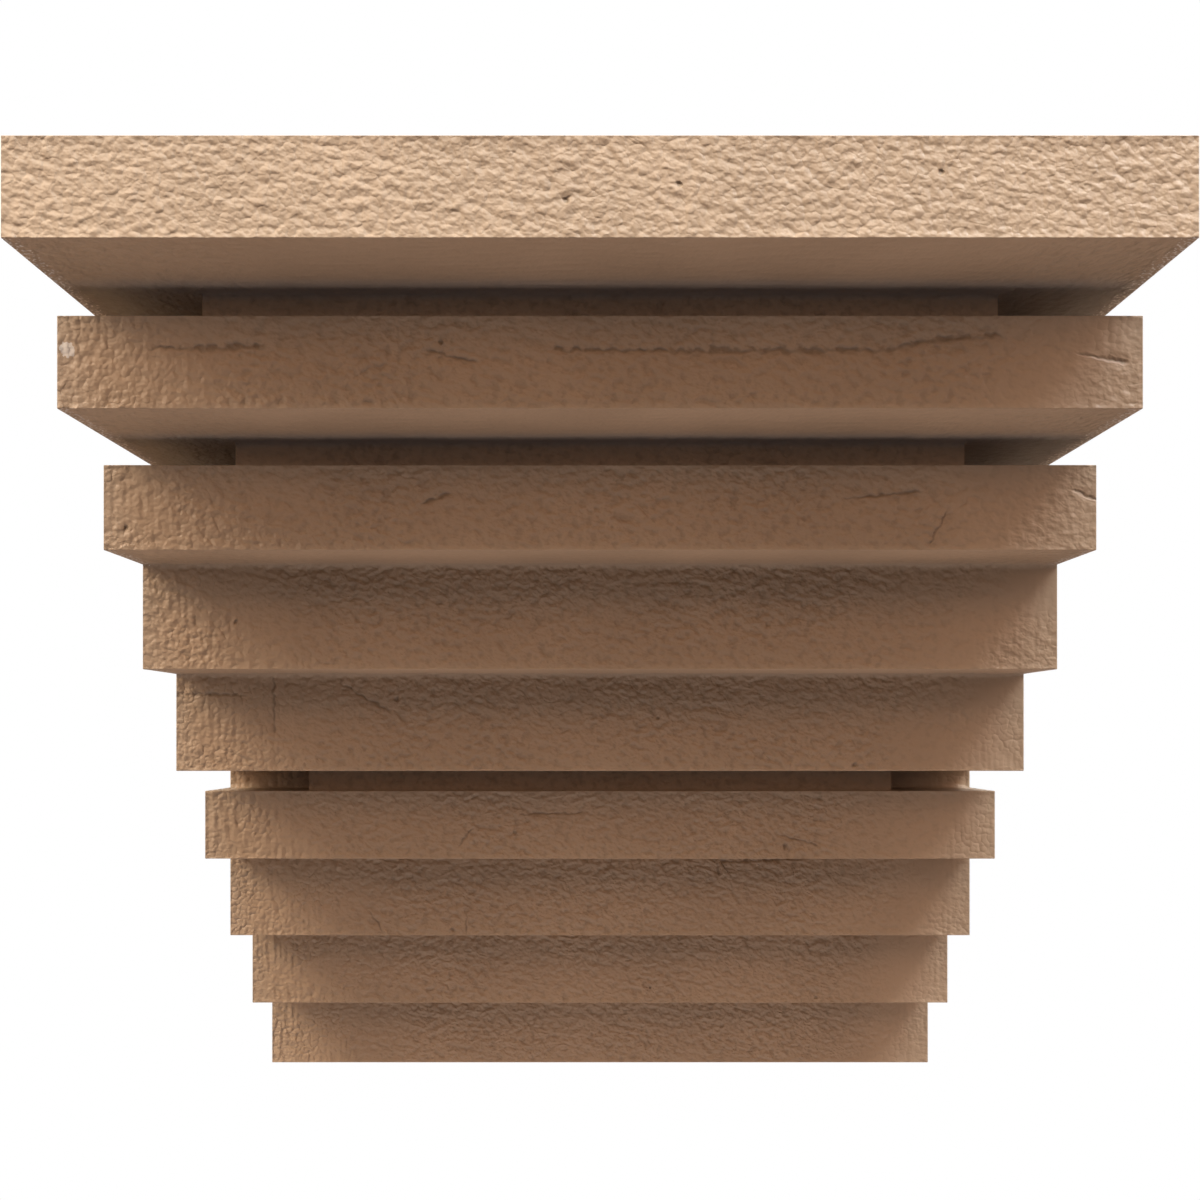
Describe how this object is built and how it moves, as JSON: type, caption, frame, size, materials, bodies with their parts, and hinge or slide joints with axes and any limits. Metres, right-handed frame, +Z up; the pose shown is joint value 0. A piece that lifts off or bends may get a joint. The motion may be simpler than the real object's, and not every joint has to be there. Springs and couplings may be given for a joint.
{
  "type": "stepped corbel",
  "caption": "Stepped wall corbel: tiers of one width set back towards the wall, grooves round its front and cheeks, and a flat top that carries a shelf, beam or cornice.",
  "frame": {"origin": "middle of the flat back face, where the corbel lies against the wall", "axes": "+Y into the wall, so the corbel stands out of the wall along -Y and its front looks along -Y; +Z up, square to the bearing top; X along the width"},
  "size_m": [0.3048, 0.3048, 0.3048],
  "materials": {
    "primed_tan_urethane": "rough moulded urethane in a tan primer with a low sheen"
  },
  "bodies": {
    "root": {"corbel": "primed_tan_urethane"}
  },
  "joints": []
}
